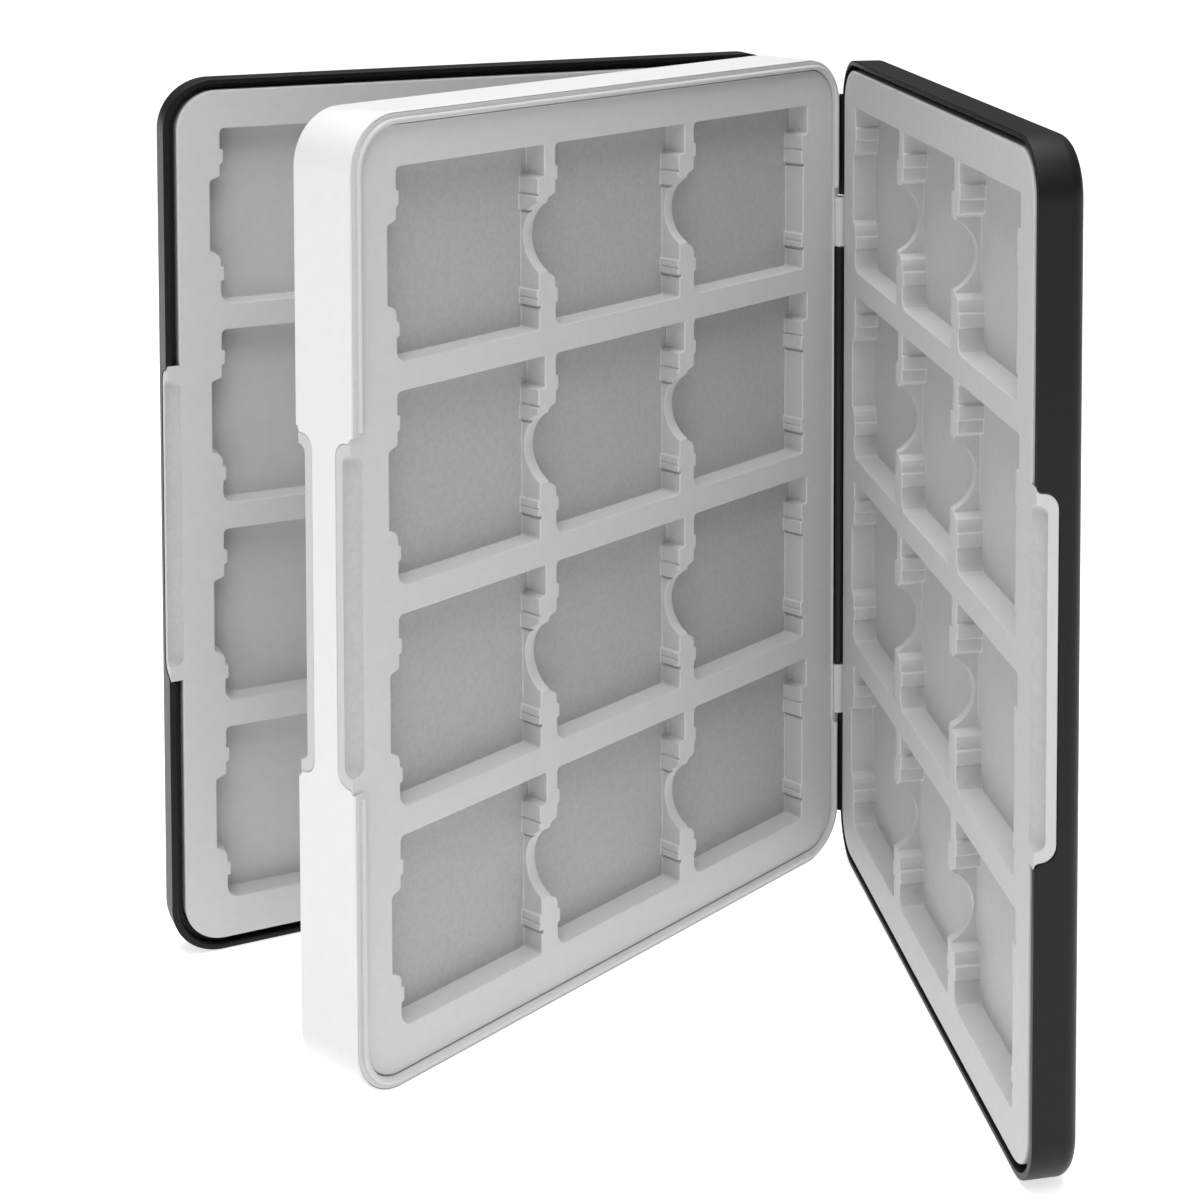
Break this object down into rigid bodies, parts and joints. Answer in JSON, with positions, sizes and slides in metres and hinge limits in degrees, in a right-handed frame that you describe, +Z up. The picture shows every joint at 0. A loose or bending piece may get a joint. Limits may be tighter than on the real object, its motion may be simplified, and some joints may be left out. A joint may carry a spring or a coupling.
{
  "type": "game card case",
  "caption": "Folding case for small game cards: a middle leaf and two hinged covers that hold trays of moulded card pockets, with finger notches at the free edges.",
  "frame": {"origin": "middle of the middle leaf's bottom face", "axes": "+Z up along the hinge axes, +X towards the spine that carries the hinges, -Y towards the front cover"},
  "size_m": [0.1446, 0.1919, 0.1792],
  "materials": {
    "white_plastic": "white moulded plastic, satin",
    "grey_plastic": "light grey moulded plastic, fine matt grain",
    "black_plastic": "black moulded plastic, matt",
    "pin_steel": "plain steel wire"
  },
  "bodies": {
    "middle_leaf": {"middle_frame": "white_plastic", "middle_front_tray": "grey_plastic", "middle_rear_tray": "grey_plastic", "front_upper_hinge_pin": "pin_steel", "front_lower_hinge_pin": "pin_steel", "rear_upper_hinge_pin": "pin_steel", "rear_lower_hinge_pin": "pin_steel"},
    "front_cover": {"front_cover_shell": "black_plastic", "front_cover_tray": "grey_plastic"},
    "rear_cover": {"rear_cover_shell": "black_plastic", "rear_cover_tray": "grey_plastic"}
  },
  "joints": [
    {"name": "front_cover_hinge", "type": "hinge", "parent": "middle_leaf", "child": "front_cover", "pos_m": [0.0697, -0.0076, 0.0896], "axis": [0, 0, 1], "range_deg": [-51.8, 108.2]},
    {"name": "rear_cover_hinge", "type": "hinge", "parent": "middle_leaf", "child": "rear_cover", "pos_m": [0.0697, 0.0076, 0.0896], "axis": [0, 0, -1], "range_deg": [-23.7, 136.3]}
  ]
}
